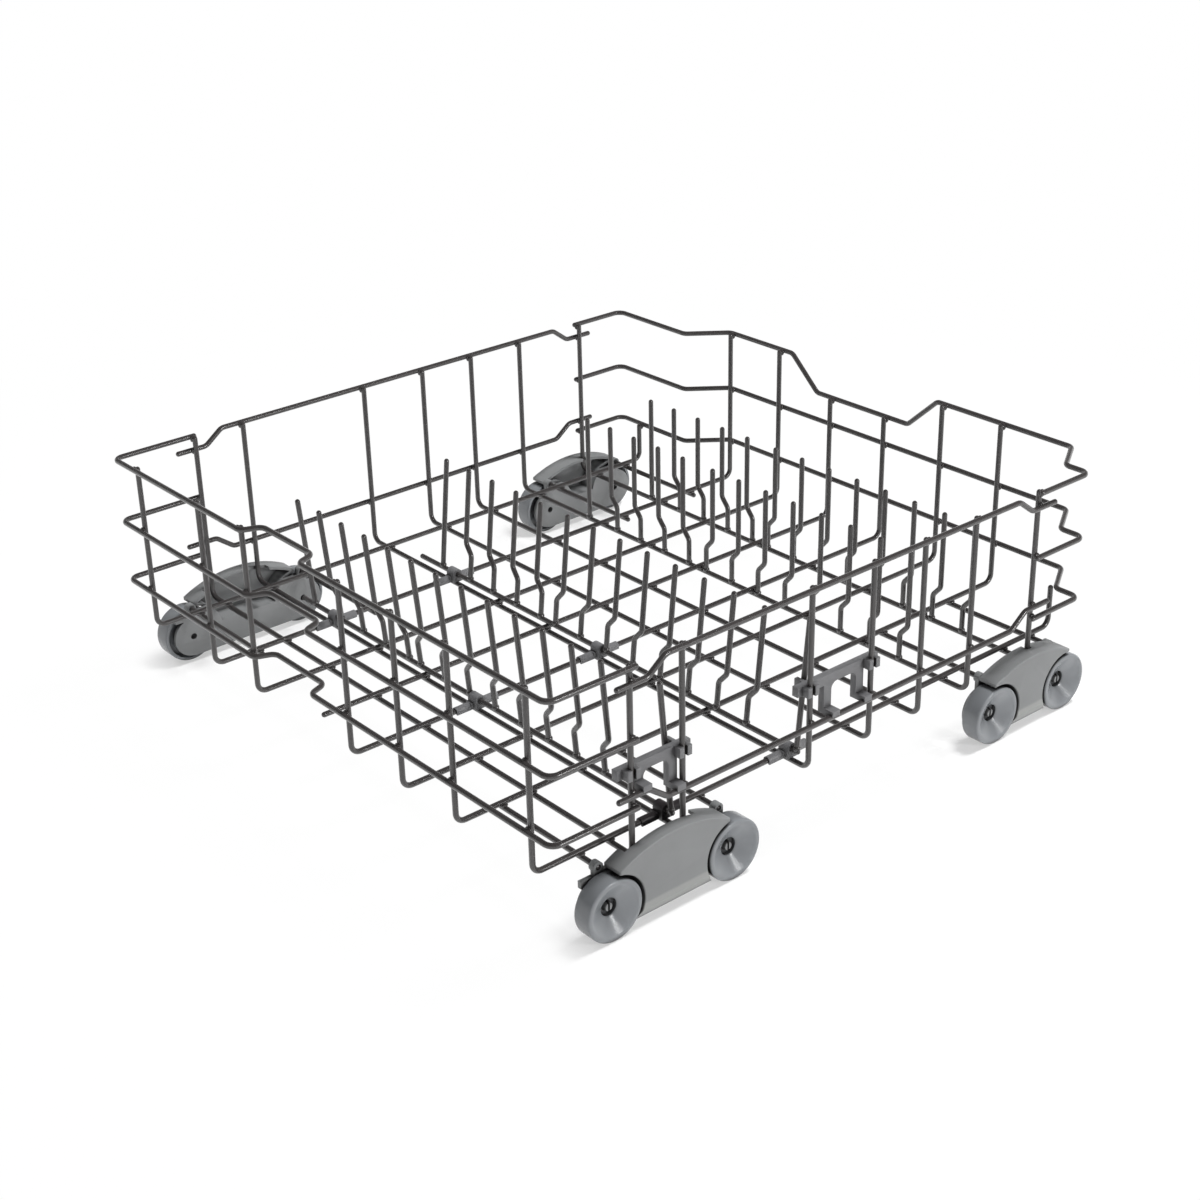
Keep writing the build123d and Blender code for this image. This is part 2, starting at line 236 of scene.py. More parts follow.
def grown(name, mesh, tree, sizes):
    """Runs a tree once on a mesh and keeps the result as a plain mesh."""
    piece = bpy.data.objects.new(name, mesh)
    bpy.context.scene.collection.objects.link(piece)
    maker = piece.modifiers.new("maker", "NODES")
    maker.node_group = tree
    for item in tree.interface.items_tree:
        if item.in_out == "INPUT" and item.name in sizes:
            maker[item.identifier] = sizes[item.name]
    graph = bpy.context.evaluated_depsgraph_get()
    result = bpy.data.meshes.new_from_object(piece.evaluated_get(graph), depsgraph=graph)
    piece.modifiers.remove(maker)
    piece.data = result
    result.name = name
    return piece


def wires(name, paths, bend, body, node):
    points = []
    edges = []
    for path in paths:
        start = len(points)
        points += [tuple(point) for point in path]
        edges += [(i, i + 1) for i in range(start, len(points) - 1)]
    mesh = bpy.data.meshes.new(name + "_path")
    mesh.from_pydata(points, edges, [])
    sizes = {"Wire radius": WIRE_R, "Bend radius": bend, "Sides": WIRE_SIDES, "Coating": COATING}
    piece = grown(name, mesh, WIRE_TREE, sizes)
    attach(piece, body)
    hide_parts(node)


def corners(node):
    low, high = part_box(node)
    return Vector(low), Vector(high)


cross_y = []
for number in range(1, CROSS_WIRES + 1):
    node = f"cross_wire_{number}"
    low, high = corners(node)
    wall_x = high.x - WIRE_R
    cross_z = low.z + WIRE_R
    post_top = high.z - WIRE_R
    y = (low.y + high.y) / 2
    cross_y.append(y)
    path = [(-wall_x, y, post_top), (-wall_x, y, cross_z), (wall_x, y, cross_z), (wall_x, y, post_top)]
    wires(f"basket_{node}", [path], CROSS_BEND, "basket", node)


# Long wires
# Eight lengths laid on the cross wires and welded at each crossing. They turn up into the rear
# and front walls; one stops short in the rear notch, the outer two end at the low front rail.
LONG_WIRES = 8
LONG_BEND = 7 * MM
END_OVER = 1.2 * MM
FREE_LONG = 4
SHORT_FRONT = (1, 8)
DIPPED_FRONT = (4, 5)
rail_low_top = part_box("front_rail_low")[1][2] - WIRE_R
rail_dip_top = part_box("front_rail_top")[0][2] + WIRE_R
rail_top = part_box("front_rail_top")[1][2] - WIRE_R
long_x = []
for number in range(1, LONG_WIRES + 1):
    node = f"long_wire_{number}"
    low, high = corners(node)
    x = (low.x + high.x) / 2
    long_x.append(x)
    long_z = low.z + WIRE_R
    rear_y = low.y + WIRE_R
    front_y = high.y - WIRE_R
    front_top = rail_top
    if number in SHORT_FRONT:
        front_top = rail_low_top
    if number in DIPPED_FRONT:
        front_top = rail_dip_top
    path = [(x, front_y, front_top + END_OVER - WIRE_R), (x, front_y, long_z), (x, rear_y, long_z)]
    if number != FREE_LONG:
        path.append((x, rear_y, rail_top + END_OVER - WIRE_R))
    wires(f"basket_{node}", [path], LONG_BEND, "basket", node)


# Side wires
# A top and a low wire outside each side wall. Both ends are joggled past the end rails, which
# are welded to the same posts at the full height.
SIDE_BEND = 8 * MM
POST_ROOM = 10.9 * MM
JOGGLE_RUN = 14.5 * MM
rear_step = cross_y[0] + POST_ROOM
front_step = cross_y[-1] - POST_ROOM
for level in ("top", "low"):
    for side in ("left", "right"):
        node = f"side_wire_{level}_{side}"
        low, high = corners(node)
        x = (low.x + high.x) / 2
        main_z, end_z = high.z - WIRE_R, low.z + WIRE_R
        if level == "low":
            main_z, end_z = end_z, main_z
        path = [(x, low.y + WIRE_R, end_z), (x, rear_step, end_z), (x, rear_step + JOGGLE_RUN, main_z)]
        path += [(x, front_step - JOGGLE_RUN, main_z), (x, front_step, end_z), (x, high.y - WIRE_R, end_z)]
        wires(f"basket_{node}", [path], SIDE_BEND, "basket", node)


# End rails
# Three rails round each end, from post to post. The rear ones are pushed in by a narrow notch,
# the front ones step back at both corners and the top front rail dips for a low front edge.
RAIL_BEND = 7 * MM
BEND_ROOM = 0.6 * MM
NOTCH_AFTER = 3
NOTCH_W = 61 * MM
NOTCH_DEPTH = 14.5 * MM
NOTCH_FLANK = 5.5 * MM
SET_BACK = 30.5 * MM
LEFT_STEP_BEFORE = 2
LEFT_STEP_RUN = 25 * MM
RIGHT_STEP_X = 231.5 * MM
RIGHT_STEP_RUN = 18.5 * MM
DIP_X = 7 * MM
DIP_W = 98 * MM
DIP_RUN = 29 * MM


def bend_length(rise, run):
    return RAIL_BEND * math.tan(math.atan2(rise, run) / 2)


notch_left = long_x[NOTCH_AFTER - 1] + bend_length(NOTCH_DEPTH, NOTCH_FLANK) + BEND_ROOM
notch_right = notch_left + 2 * NOTCH_FLANK + NOTCH_W
left_step = long_x[LEFT_STEP_BEFORE - 1] - bend_length(SET_BACK, LEFT_STEP_RUN) - BEND_ROOM
dip_left = DIP_X - DIP_W / 2
dip_right = DIP_X + DIP_W / 2
for level in ("top", "mid", "low"):
    node = f"rear_rail_{level}"
    low, high = corners(node)
    side_x = high.x - WIRE_R
    face_y = low.y + WIRE_R
    tail_y = high.y - WIRE_R
    inner_y = face_y + NOTCH_DEPTH
    z = (low.z + high.z) / 2
    path = [(-side_x, tail_y, z), (-side_x, face_y, z)]
    path += [(notch_left, face_y, z), (notch_left + NOTCH_FLANK, inner_y, z)]
    path += [(notch_right - NOTCH_FLANK, inner_y, z), (notch_right, face_y, z)]
    path += [(side_x, face_y, z), (side_x, tail_y, z)]
    wires(f"basket_{node}", [path], RAIL_BEND, "basket", node)

    node = f"front_rail_{level}"
    low, high = corners(node)
    face_y = high.y - WIRE_R
    tail_y = low.y + WIRE_R
    back_y = face_y - SET_BACK
    z = high.z - WIRE_R
    dip_z = low.z + WIRE_R
    path = [(-side_x, tail_y, z), (-side_x, back_y, z)]
    path += [(left_step - LEFT_STEP_RUN, back_y, z), (left_step, face_y, z)]
    if level == "top":
        path += [(dip_left - DIP_RUN, face_y, z), (dip_left, face_y, dip_z)]
        path += [(dip_right, face_y, dip_z), (dip_right + DIP_RUN, face_y, z)]
    path += [(RIGHT_STEP_X - RIGHT_STEP_RUN, face_y, z), (RIGHT_STEP_X, back_y, z)]
    path += [(side_x, back_y, z), (side_x, tail_y, z)]
    wires(f"basket_{node}", [path], RAIL_BEND, "basket", node)


# Roller wires
# Short straight wires under the long wires and welded to these. Their outer ends sit in the eyes
# of the bogie plates and hold the bogies to the floor.
STRAIGHT = 0.0
for end in ("rear", "front"):
    for side in ("left", "right"):
        node = f"roller_wires_{end}_{side}"
        low, high = corners(node)
        inner_to_outer = [low.x + WIRE_R, high.x - WIRE_R]
        if side == "left":
            inner_to_outer.reverse()
        paths = [[(x, y, cross_z) for x in inner_to_outer] for y in (low.y + WIRE_R, high.y - WIRE_R)]
        wires(f"basket_{node}", paths, STRAIGHT, "basket", node)


# Fixed tine rows
# Uprights welded on top of two cross wires. They are kinked sideways above the foot, to the left
# in the left group and to the right in the other, so that plates lean between them. Only the
# tine at the left end is straight.
TINE_PITCH = 29 * MM
TINE_H = 88 * MM
KINK_FROM = 19 * MM
KINK_RISE = 8 * MM
KINK_OUT = 7 * MM
KINK_BEND = 6 * MM
END_TINE_SHIFT = 6.5 * MM
LEFT_TINES = 5
RIGHT_TINES = 8
FRONT_ROW_WIRE = 7
FRONT_ROW_STARTS = (-33.5 * MM, -15.5 * MM)
SECOND_ROW_WIRE = 6
SECOND_ROW_STARTS = (-38.0 * MM, -18.0 * MM)


def tine(x, y, carrier_z, out):
    base = carrier_z + WIRE_R
    low = base + KINK_FROM
    tip = base + TINE_H - WIRE_R
    if out == 0:
        return [(x, y, carrier_z), (x, y, tip)]
    return [(x, y, carrier_z), (x, y, low), (x + out, y, low + KINK_RISE), (x + out, y, tip)]


def tine_row(y, carrier_z, starts):
    left, right = starts
    row = [tine(left - i * TINE_PITCH, y, carrier_z, -KINK_OUT) for i in range(LEFT_TINES - 1)]
    end_x = left - (LEFT_TINES - 1) * TINE_PITCH - END_TINE_SHIFT
    row.append(tine(end_x, y, carrier_z, 0))
    row += [tine(right + i * TINE_PITCH, y, carrier_z, KINK_OUT) for i in range(RIGHT_TINES)]
    return row


front_row = tine_row(cross_y[FRONT_ROW_WIRE - 1], cross_z, FRONT_ROW_STARTS)
wires("basket_tine_row_front", front_row, KINK_BEND, "basket", "tine_row_front")
second_row = tine_row(cross_y[SECOND_ROW_WIRE - 1], cross_z, SECOND_ROW_STARTS)
wires("basket_tine_row_second", second_row, KINK_BEND, "basket", "tine_row_second")


# Folding tine rows
# A loose rod on the floor carries the same tines and, beside the right wall, a straight lever
# tine. The whole row leans a little and swings down about its rod.
ROD_LEFT = -183 * MM
ROD_OVER = 3 * MM
LEVER_X = 237 * MM
LEVER_H = 95 * MM
MIDDLE_ROW_WIRE = 3
MIDDLE_ROW_STARTS = (-30.8 * MM, -13.6 * MM)
MIDDLE_LEAN = math.radians(-6)
REAR_ROW_WIRE = 2
REAR_ROW_STARTS = (-43.0 * MM, -29.0 * MM)
REAR_LEAN = math.radians(5)


def folding_row(name, body, node, y, starts, lean):
    """Makes a leaning row and gives back the feet of its tines and the way that they point."""
    joint = next(j for j in frame["joints"] if j["child"] == body)
    rod_z = joint["pos_m"][2]
    rod_end = LEVER_X + ROD_OVER
    row = [[(ROD_LEFT + WIRE_R, y, rod_z), (rod_end - WIRE_R, y, rod_z)]]
    row += tine_row(y, rod_z, starts)
    row.append([(LEVER_X, y, rod_z), (LEVER_X, y, rod_z + LEVER_H)])
    turn = Matrix.Translation((0, y, rod_z)) @ Matrix.Rotation(lean, 4, "X")
    turn = turn @ Matrix.Translation((0, -y, -rod_z))
    paths = [[turn @ Vector(point) for point in path] for path in row]
    wires(name, paths, KINK_BEND, body, node)
    return [path[0] for path in paths[1:]], turn.to_3x3() @ Vector((0, 0, 1))


middle_feet, middle_up = folding_row(
    "middle_row_tines", "middle_row", "fold_row_middle",
    cross_y[MIDDLE_ROW_WIRE - 1], MIDDLE_ROW_STARTS, MIDDLE_LEAN)
rear_feet, rear_up = folding_row(
    "rear_row_tines", "rear_row", "fold_row_rear",
    cross_y[REAR_ROW_WIRE - 1], REAR_ROW_STARTS, REAR_LEAN)


# Weld necks
# Where two wires are resistance welded the coating draws into the crevice and leaves a small
# smooth neck. Floor crossings, wall uprights and the feet of the tines have one. Where an upright
# ends at a rail, the neck keeps below the top of the rail.
NECK_WIDE = 3.1 * MM
NECK_THICK = 1.5 * MM
NECK_FINENESS = 2
END_DROP = NECK_WIDE - WIRE_R
FOOT_WIDE = 2.8 * MM
FOOT_THICK = 2.6 * MM
UP = (0, 0, 1)
ACROSS = (1, 0, 0)
ALONG = (0, 1, 0)


def neck_tree():
    grow = Growth("weld_neck", {
        "Spots": "Geometry", "Neck width": "Float", "Neck thickness": "Float", "Coating": "Material"})
    wide = grow.given["Neck width"]
    ball = grow.node("GeometryNodeMeshIcoSphere", {}, {"Radius": 1.0, "Subdivisions": NECK_FINENESS})
    size = grow.node("ShaderNodeCombineXYZ", {}, {"X": wide, "Y": wide, "Z": grow.given["Neck thickness"]})
    across = grow.node("GeometryNodeInputNamedAttribute", {"data_type": "FLOAT_VECTOR"}, {"Name": "across"})
    turn = grow.node("FunctionNodeAlignRotationToVector", {"axis": "Z"}, {"Vector": across})
    necks = grow.node("GeometryNodeInstanceOnPoints", {}, {
        "Points": grow.given["Spots"], "Instance": ball, "Rotation": turn, "Scale": size})
    return grow.finish(necks, grow.given["Coating"])


NECK_TREE = neck_tree()


def weld_necks(name, spots, body, wide, thick):
    mesh = bpy.data.meshes.new(name + "_spots")
    mesh.from_pydata([tuple(place) for place, _ in spots], [], [])
    across = mesh.attributes.new("across", "FLOAT_VECTOR", "POINT")
    for item, (_, direction) in zip(across.data, spots):
        item.vector = direction
    sizes = {"Neck width": wide, "Neck thickness": thick, "Coating": COATING}
    piece = grown(name, mesh, NECK_TREE, sizes)
    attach(piece, body)


floor_z = (cross_z + long_z) / 2
spots = [((x, y, floor_z), UP) for x in long_x for y in cross_y]
for end in ("rear", "front"):
    for side in ("left", "right"):
        low, high = corners(f"roller_wires_{end}_{side}")
        for y in (low.y + WIRE_R, high.y - WIRE_R):
            spots += [((x, y, floor_z), UP) for x in long_x if low.x < x < high.x]
weld_necks("basket_floor_welds", spots, "basket", NECK_WIDE, NECK_THICK)

spots = []
weld_x = wall_x + WIRE_R
rear_weld_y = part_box("rear_rail_top")[0][1] + 2 * WIRE_R
front_weld_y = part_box("front_rail_top")[1][1] - 2 * WIRE_R
low_front_weld_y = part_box("long_wire_1")[1][1]
rail_levels = [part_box(f"rear_rail_{level}")[1][2] - WIRE_R for level in ("top", "mid", "low")]
rail_levels[0] -= END_DROP
joggled_top, side_top = (corner[2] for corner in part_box("side_wire_top_left"))
side_low, joggled_low = (corner[2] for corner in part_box("side_wire_low_left"))
wall_levels = [side_top - WIRE_R - END_DROP, side_low + WIRE_R]
post_levels = [joggled_top + WIRE_R, joggled_low - WIRE_R] + rail_levels
for x in (-weld_x, weld_x):
    spots += [((x, y, z), ACROSS) for y in cross_y[1:-1] for z in wall_levels]
    spots += [((x, y, z), ACROSS) for y in (cross_y[0], cross_y[-1]) for z in post_levels]
for number, x in enumerate(long_x, 1):
    if number != FREE_LONG:
        spots += [((x, rear_weld_y, z), ALONG) for z in rail_levels]
    if number not in SHORT_FRONT:
        top = rail_dip_top if number in DIPPED_FRONT else rail_top
        spots += [((x, front_weld_y, z), ALONG) for z in [top - END_DROP] + rail_levels[1:]]
spots.append(((long_x[0], low_front_weld_y, rail_low_top - END_DROP), ALONG))
weld_necks("basket_wall_welds", spots, "basket", NECK_WIDE, NECK_THICK)

feet = [((path[0][0], path[0][1], cross_z + WIRE_R), UP) for path in front_row + second_row]
weld_necks("basket_tine_welds", feet, "basket", FOOT_WIDE, FOOT_THICK)
feet = [(foot + middle_up * WIRE_R, middle_up) for foot in middle_feet]
weld_necks("middle_row_welds", feet, "middle_row", FOOT_WIDE, FOOT_THICK)
feet = [(foot + rear_up * WIRE_R, rear_up) for foot in rear_feet]
weld_necks("rear_row_welds", feet, "rear_row", FOOT_WIDE, FOOT_THICK)


# Bogies
# Moulded grey plastic carriages, one at each corner: a hollow arched hood between two rollers
# and a plate behind them, with pins bored from the back. Edges carry the radii of the mould,
# faces a fine spark texture. Shade is painted darker into the crevices, and a pale band of
# painted reflection of the white floor runs along the lower edge.
BOGIE_DARK = (0.157, 0.160, 0.162, 1)
BOGIE_LIGHT = (0.186, 0.192, 0.194, 1)
# Painted light: the paler tone of the band of painted floor reflection along the lower edge.
BOGIE_PAINTED_FLOOR_LIGHT = (0.232, 0.237, 0.230, 1)
BOGIE_ROUGH = 0.42
BOGIE_GRAIN = 0.5 * MM
BOGIE_ROUND = 0.5 * MM
# Painted shade: the dark tone painted into crevices, and how far the occlusion looks for them.
PAINTED_CREVICE_SHADE = (0.010, 0.009, 0.009, 1)
PAINTED_SHADE_REACH = 5 * MM
PLASTIC_CLOUD = 30 * MM
WEAR_SIZE = 9 * MM
WEAR_ROUGH = 0.14
SPARK_RELIEF = 0.10 * MM
SPARK_BUMP = 0.35
# Painted light: where the band of painted floor reflection along the lower edge begins and ends.
FLOOR_LIGHT_TOP = 18.6 * MM
FLOOR_LIGHT_FULL = 16.8 * MM
FLOOR_LIGHT_WAVE = 1.0 * MM
FLOOR_LIGHT_FACE = 257 * MM
FLOOR_LIGHT_FACE_EDGE = 1 * MM
MERGE = 0.002 * MM
FLAT_ANGLE = math.radians(1)
ROUNDED_ANGLE = math.radians(40)
SHARP_ANGLE = math.radians(35)
ROUND_STEPS = 2
PIN_BORE_R = 2.6 * MM
PIN_BORE_DEEP = 7.0 * MM
PIN_BORE_SIDES = 40
EYE_OVER = 1.7 * MM


def painted_floor_light_share(plastic, place, wear):
    """One along the lower edge of the outer faces, where a pale band of painted floor reflection goes, and
    nothing elsewhere.
    """
    side, height = (plastic.node("ShaderNodeSeparateXYZ", {}, {"Vector": place}, axis) for axis in "XZ")
    face_start = FLOOR_LIGHT_FACE ** 2
    face_end = (FLOOR_LIGHT_FACE + FLOOR_LIGHT_FACE_EDGE) ** 2
    on_edge = plastic.node("ShaderNodeMapRange", {}, {
        "Value": height + FLOOR_LIGHT_WAVE * wear, "From Min": FLOOR_LIGHT_TOP, "From Max": FLOOR_LIGHT_FULL}, "Result")
    on_face = plastic.node("ShaderNodeMapRange", {}, {
        "Value": side * side, "From Min": face_start, "From Max": face_end}, "Result")
    return on_edge * on_face


def moulded(name, dark, light, rough, grain, painted_floor_light=None):
    plastic = Finish(name)
    place = plastic.object_place()
    cloud = plastic.noise(place, PLASTIC_CLOUD, detail=3)
    spark = plastic.noise(place, grain, detail=3)
    wear = plastic.noise(place, WEAR_SIZE, detail=4)
    # Painted shade: ambient occlusion darkens the colour in crevices, hollows and gaps between parts, on
    # bogies, rollers and clips alike.
    shade_openness = plastic.node("ShaderNodeAmbientOcclusion", {}, {"Distance": PAINTED_SHADE_REACH}, "AO")
    colour = plastic.blend(cloud, dark, light)
    # Painted light: a paler band along the lower edge stands in for the white floor reflected in the hood.
    if painted_floor_light:
        colour = plastic.blend(painted_floor_light_share(plastic, place, wear), colour, painted_floor_light)
    plastic.set("Base Color", plastic.blend(shade_openness * shade_openness, PAINTED_CREVICE_SHADE, colour))
    plastic.set("Roughness", rough + WEAR_ROUGH * wear)
    plastic.set("Normal", plastic.bump(spark, SPARK_RELIEF, SPARK_BUMP))
    return plastic.material


def merged_copy(name, node):
    """A copy of a CAD node's mesh with its points joined and its flats in one face each."""
    mesh = frame["nodes"][node].data.copy()
    mesh.name = name
    shape = bmesh.new()
    shape.from_mesh(mesh)
    bmesh.ops.remove_doubles(shape, verts=shape.verts, dist=MERGE)
    bmesh.ops.dissolve_limit(
        shape, angle_limit=FLAT_ANGLE, verts=shape.verts, edges=shape.edges, delimit={"NORMAL"})
    shape.to_mesh(mesh)
    shape.free()
    return mesh


def softened(name, node, width, body, material, bores=None):
    """A moulding with rounded edges and, where it has pins, their bores."""
    piece = bpy.data.objects.new(name, merged_copy(name, node))
    bpy.context.scene.collection.objects.link(piece)
    bevel = piece.modifiers.new("mould_radius", "BEVEL")
    bevel.width = width
    bevel.segments = ROUND_STEPS
    bevel.limit_method = "ANGLE"
    bevel.angle_limit = ROUNDED_ANGLE
    bevel.harden_normals = False
    if bores:
        cut = piece.modifiers.new("pin_bores", "BOOLEAN")
        cut.operation = "DIFFERENCE"
        cut.solver = "EXACT"
        cut.object = bores
    graph = bpy.context.evaluated_depsgraph_get()
    result = bpy.data.meshes.new_from_object(piece.evaluated_get(graph), depsgraph=graph)
    piece.modifiers.clear()
    piece.data = result
    result.name = name
    result.materials.clear()
    result.materials.append(material)
    for face in result.polygons:
        face.material_index = 0
        face.use_smooth = True
    result.set_sharp_from_angle(angle=SHARP_ANGLE)
    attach(piece, body)
    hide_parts(node)


def pin_bores(end, side, plate_x):
    """The two rods that bore the pins of one bogie from behind its plate."""
    shape = bmesh.new()
    for joint in frame["joints"]:
        if joint["child"].startswith(f"roller_{end}_{side}"):
            turn = Matrix.Translation((plate_x, joint["pos_m"][1], joint["pos_m"][2]))
            turn = turn @ Matrix.Rotation(math.radians(90), 4, "Y")
            bmesh.ops.create_cone(
                shape, cap_ends=True, segments=PIN_BORE_SIDES, radius1=PIN_BORE_R, radius2=PIN_BORE_R,
                depth=2 * PIN_BORE_DEEP, matrix=turn)
    mesh = bpy.data.meshes.new("pin_bores")
    shape.to_mesh(mesh)
    shape.free()
    cutter = bpy.data.objects.new("pin_bores", mesh)
    bpy.context.scene.collection.objects.link(cutter)
    return cutter


BOGIE_PLASTIC = moulded(
    "bogie_plastic", BOGIE_DARK, BOGIE_LIGHT, BOGIE_ROUGH, BOGIE_GRAIN, BOGIE_PAINTED_FLOOR_LIGHT)
for end in ("rear", "front"):
    for side in ("left", "right"):
        node = f"bogie_{end}_{side}"
        low, high = corners(node)
        plate_x = high.x - EYE_OVER if side == "left" else low.x + EYE_OVER
        cutter = pin_bores(end, side, plate_x)
        softened(f"bogie_body_{end}_{side}", node, BOGIE_ROUND, "basket", BOGIE_PLASTIC, cutter)
        bpy.data.objects.remove(cutter)


# Rollers
# Moulded blue-grey wheels with a dish outside and a deep ring groove inside. Each runs on a slit
# pin of the bogie, whose head has snapped through the bore.
ROLLER_DARK = (0.153, 0.161, 0.170, 1)
ROLLER_LIGHT = (0.188, 0.198, 0.209, 1)
ROLLER_ROUGH = 0.17
ROLLER_GRAIN = 0.4 * MM
RIM_W = 3.2 * MM
RIM_ROUND = 1.4 * MM
RIM_STEPS = 6
DISH_DEEP = 6.5 * MM
DISH_ROUND = 0.4 * MM
FLANK_RINGS = (0.04, 0.08, 0.92)
WELL_R = 6.2 * MM
WELL_LIP = 0.5 * MM
WELL_DEEP = 3.4 * MM
BORE_R = 3.1 * MM
HUB_R = 9.0 * MM
HUB_DRAFT = 0.5 * MM
GROOVE_R = 19.2 * MM
GROOVE_DRAFT = 0.6 * MM
GROOVE_DEEP = 7.5 * MM
WHEEL_STEPS = 96
WHEEL_SHARP = math.radians(40)
ROLLER_PLASTIC = moulded("roller_plastic", ROLLER_DARK, ROLLER_LIGHT, ROLLER_ROUGH, ROLLER_GRAIN)


def quarter(centre, radius, start):
    turns = [math.radians(start + 90 * i / RIM_STEPS) for i in range(RIM_STEPS + 1)]
    return [(centre[0] + radius * math.cos(turn), centre[1] + radius * math.sin(turn)) for turn in turns]


def wheel_profile(width, radius):
    """Half of the wheel's section, as depths from the inner face and radii."""
    dish_end = width - DISH_DEEP
    well_end = dish_end - WELL_DEEP
    flank_top = Vector((width, radius - RIM_W))
    flank_foot = Vector((dish_end, WELL_R + WELL_LIP))
    profile = [(0, BORE_R), (0, HUB_R), (GROOVE_DEEP, HUB_R + HUB_DRAFT)]
    profile += [(GROOVE_DEEP, GROOVE_R - GROOVE_DRAFT), (0, GROOVE_R)]
    profile += reversed(quarter((RIM_ROUND, radius - RIM_ROUND), RIM_ROUND, 90))
    profile += reversed(quarter((width - RIM_ROUND, radius - RIM_ROUND), RIM_ROUND, 0))
    profile.append((width, radius - RIM_W + DISH_ROUND))
    profile += [tuple(flank_top.lerp(flank_foot, share)) for share in FLANK_RINGS]
    profile += [tuple(flank_foot), (dish_end - WELL_LIP, WELL_R), (well_end, WELL_R), (well_end, BORE_R)]
    return profile


def sorted_by_place(items, place_of):
    """The spin lists its points and faces in no fixed order, so sorting makes every run alike."""
    ranks = {item: rank for rank, item in enumerate(sorted(items, key=place_of))}
    items.sort(key=lambda item: ranks[item])


def turned_wheel(name, node):
    low, high = corners(node)
    joint = next(j for j in frame["joints"] if j["child"] == node)
    axle = Vector((0, joint["pos_m"][1], joint["pos_m"][2]))
    outward = 1 if joint["pos_m"][0] > 0 else -1
    inner_x = low.x if outward > 0 else high.x
    profile = wheel_profile(high.x - low.x, (high.z - low.z) / 2)
    shape = bmesh.new()
    ring = [shape.verts.new((inner_x + outward * x, axle.y, axle.z + r)) for x, r in profile]
    edges = [shape.edges.new((ring[i - 1], ring[i])) for i in range(len(ring))]
    bmesh.ops.spin(
        shape, geom=ring + edges, cent=axle, axis=ACROSS, angle=math.tau, steps=WHEEL_STEPS, use_merge=True)
    bmesh.ops.remove_doubles(shape, verts=shape.verts, dist=MERGE)
    bmesh.ops.recalc_face_normals(shape, faces=shape.faces)
    sorted_by_place(shape.verts, lambda vert: tuple(vert.co))
    sorted_by_place(shape.faces, lambda face: tuple(face.calc_center_median()))
    mesh = bpy.data.meshes.new(name)
    shape.to_mesh(mesh)
    shape.free()
    mesh.materials.append(ROLLER_PLASTIC)
    mesh.shade_smooth()
    mesh.set_sharp_from_angle(angle=WHEEL_SHARP)
    piece = bpy.data.objects.new(name, mesh)
    bpy.context.scene.collection.objects.link(piece)
    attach(piece, node)
    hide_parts(node)


for node in frame["nodes"]:
    if node.startswith("roller_") and not node.startswith("roller_wires"):
        turned_wheel(f"wheel_{node}", node)


# Pivot clips and latch brackets
# Small grey mouldings: clips snapped over a long wire with a bearing for a folding rod, and
# brackets snapped on two uprights of the right wall where the lever tines come to rest. The
# clip in the rear right corner is black.
CLIP_DARK = (0.110, 0.110, 0.114, 1)
CLIP_LIGHT = (0.150, 0.150, 0.155, 1)
CLIP_ROUGH = 0.40
BLACK_CLIP_DARK = (0.012, 0.010, 0.011, 1)
BLACK_CLIP_LIGHT = (0.022, 0.019, 0.020, 1)
BLACK_CLIP_ROUGH = 0.32
CLIP_GRAIN = 0.4 * MM
CLIP_ROUND = 0.25 * MM
BRACKET_ROUND = 0.4 * MM
BLACK_CLIP = "pivot_clip_rear_3"
CLIP_PLASTIC = moulded("clip_plastic", CLIP_DARK, CLIP_LIGHT, CLIP_ROUGH, CLIP_GRAIN)
DARK_PLASTIC = moulded(
    "dark_clip_plastic", BLACK_CLIP_DARK, BLACK_CLIP_LIGHT, BLACK_CLIP_ROUGH, CLIP_GRAIN)
for node in frame["nodes"]:
    if node == BLACK_CLIP:
        softened(f"clip_{node}", node, CLIP_ROUND, "basket", DARK_PLASTIC)
    elif node.startswith("pivot_clip"):
        softened(f"clip_{node}", node, CLIP_ROUND, "basket", CLIP_PLASTIC)
    elif node.startswith("latch"):
        softened(f"bracket_{node}", node, BRACKET_ROUND, "basket", CLIP_PLASTIC)


# Studio floor
# A wide sheet of matt white paper under the rollers. The camera and shiny faces see it as plain
# white, apart from a soft shadow that is let through close beside the bogies.
FLOOR_HALF = 14.0
PAPER_TONE = (0.86, 0.86, 0.86, 1)
PAPER_ROUGH = 0.9
BOGIE_MIDDLE = (0.2525, 0.172, 0)
BOGIE_HALF = (0, 0.050, 0)
ORIGIN = (0, 0, 0)
SHADOW_FULL = 6 * MM
SHADOW_END = 45 * MM
WHITE_IN_SHADOW = 0.45
WHITE_BESIDE = 0.97
WHITE_FROM = 450 * MM
WHITE_ALL = 950 * MM


def length_of(shading, vector):
    return shading.node("ShaderNodeVectorMath", {"operation": "LENGTH"}, {"Vector": vector}, "Value")


def vector_of(shading, operation, first, second):
    return shading.node("ShaderNodeVectorMath", {"operation": operation}, {0: first, 1: second}, "Vector")


def fade(shading, value, start, end, low, high):
    inputs = {"Value": value, "From Min": start, "From Max": end, "To Min": low, "To Max": high}
    return shading.node("ShaderNodeMapRange", {"interpolation_type": "SMOOTHSTEP"}, inputs, "Result")


def seen_rays(shading):
    """The rays of the camera, and those that show a place in a shiny or a clear face."""
    camera_ray, glossy_ray, through_ray = (
        shading.node("ShaderNodeLightPath", {}, {}, f"Is {kind} Ray")
        for kind in ("Camera", "Glossy", "Transmission"))
    return camera_ray, glossy_ray.maths("MAXIMUM", glossy_ray, through_ray)


